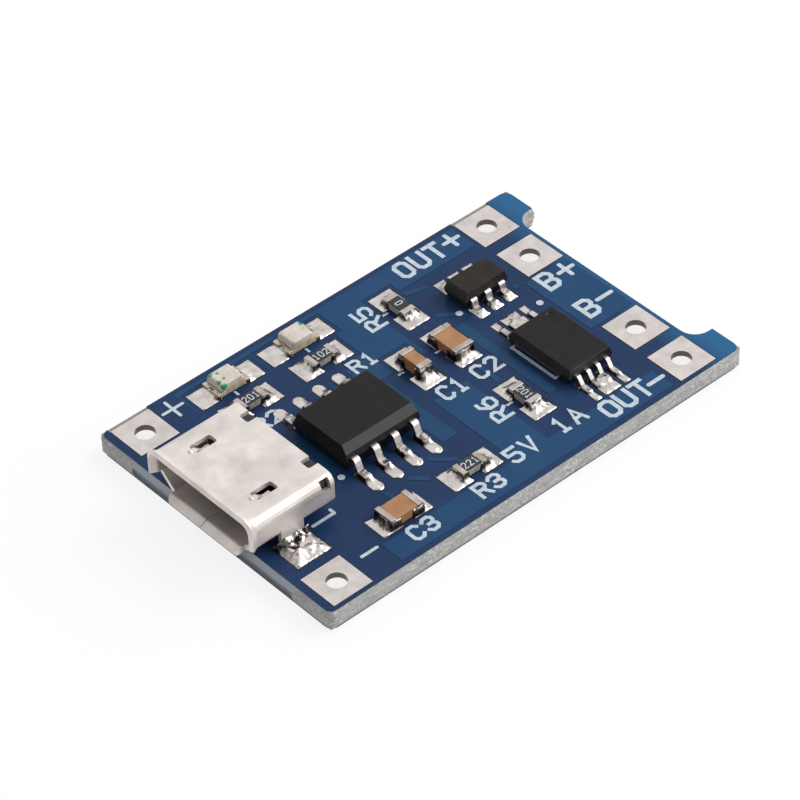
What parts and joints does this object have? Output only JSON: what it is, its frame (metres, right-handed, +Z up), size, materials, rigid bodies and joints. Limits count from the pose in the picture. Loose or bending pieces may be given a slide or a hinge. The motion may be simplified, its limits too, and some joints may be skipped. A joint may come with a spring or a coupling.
{
  "type": "lithium battery charger module",
  "caption": "Small blue charger board with a micro-USB socket, wire lands with plated holes, chips, chip resistors, capacitors and lamps.",
  "frame": {"origin": "centre of the board outline on its underside", "axes": "+X along the board from the socket to the output end, +Y across it towards the lamps, +Z up"},
  "size_m": [0.0282, 0.0174, 0.004],
  "materials": {
    "fibreglass": "rough snapped laminate edge",
    "copper": "bare foil under lacquer",
    "lacquer": "glossy blue lacquer",
    "print": "matte white print",
    "tinned_land": "flat tinned land",
    "shell_plate": "satin plated sheet",
    "black_plastic": "moulded black",
    "contact_metal": "plated spring metal",
    "solder": "bright solder",
    "chip_mould": "fine matte mould",
    "tinned_lead": "tinned lead",
    "ceramic_block": "unglazed alumina",
    "dark_glaze": "dark glaze",
    "end_metal": "tinned metal end",
    "capacitor_ceramic": "tan ceramic",
    "lamp_base": "tan laminate",
    "lamp_lens": "milky resin",
    "lamp_metal": "gilt metal end"
  },
  "bodies": {
    "root": {"board_core": "fibreglass", "copper_top": "copper", "copper_bottom": "copper", "mask_top": "lacquer", "mask_bottom": "lacquer", "silkscreen": "print", "component_lands": "tinned_land", "vias": "copper", "in_plus_pad": "tinned_land", "in_minus_pad": "tinned_land", "out_plus_pad": "tinned_land", "out_minus_pad": "tinned_land", "b_plus_pad": "tinned_land", "b_minus_pad": "tinned_land", "usb_shell": "shell_plate", "usb_housing": "black_plastic", "usb_contacts": "contact_metal", "usb_solder": "solder", "charger_chip": "chip_mould", "charger_leads": "tinned_lead", "charger_solder": "solder", "protector_chip": "chip_mould", "protector_leads": "tinned_lead", "protector_solder": "solder", "switch_chip": "chip_mould", "switch_leads": "tinned_lead", "switch_solder": "solder", "r1_ceramic": "ceramic_block", "r1_coat": "dark_glaze", "r1_ends": "end_metal", "r2_ceramic": "ceramic_block", "r2_coat": "dark_glaze", "r2_ends": "end_metal", "r3_ceramic": "ceramic_block", "r3_coat": "dark_glaze", "r3_ends": "end_metal", "r5_ceramic": "ceramic_block", "r5_coat": "dark_glaze", "r5_ends": "end_metal", "r6_ceramic": "ceramic_block", "r6_coat": "dark_glaze", "r6_ends": "end_metal", "c1_body": "capacitor_ceramic", "c1_ends": "end_metal", "c2_body": "capacitor_ceramic", "c2_ends": "end_metal", "c3_body": "capacitor_ceramic", "c3_ends": "end_metal", "led1_base": "lamp_base", "led1_lens": "lamp_lens", "led1_ends": "lamp_metal", "led2_base": "lamp_base", "led2_lens": "lamp_lens", "led2_ends": "lamp_metal", "chip_solder": "solder"}
  },
  "joints": []
}
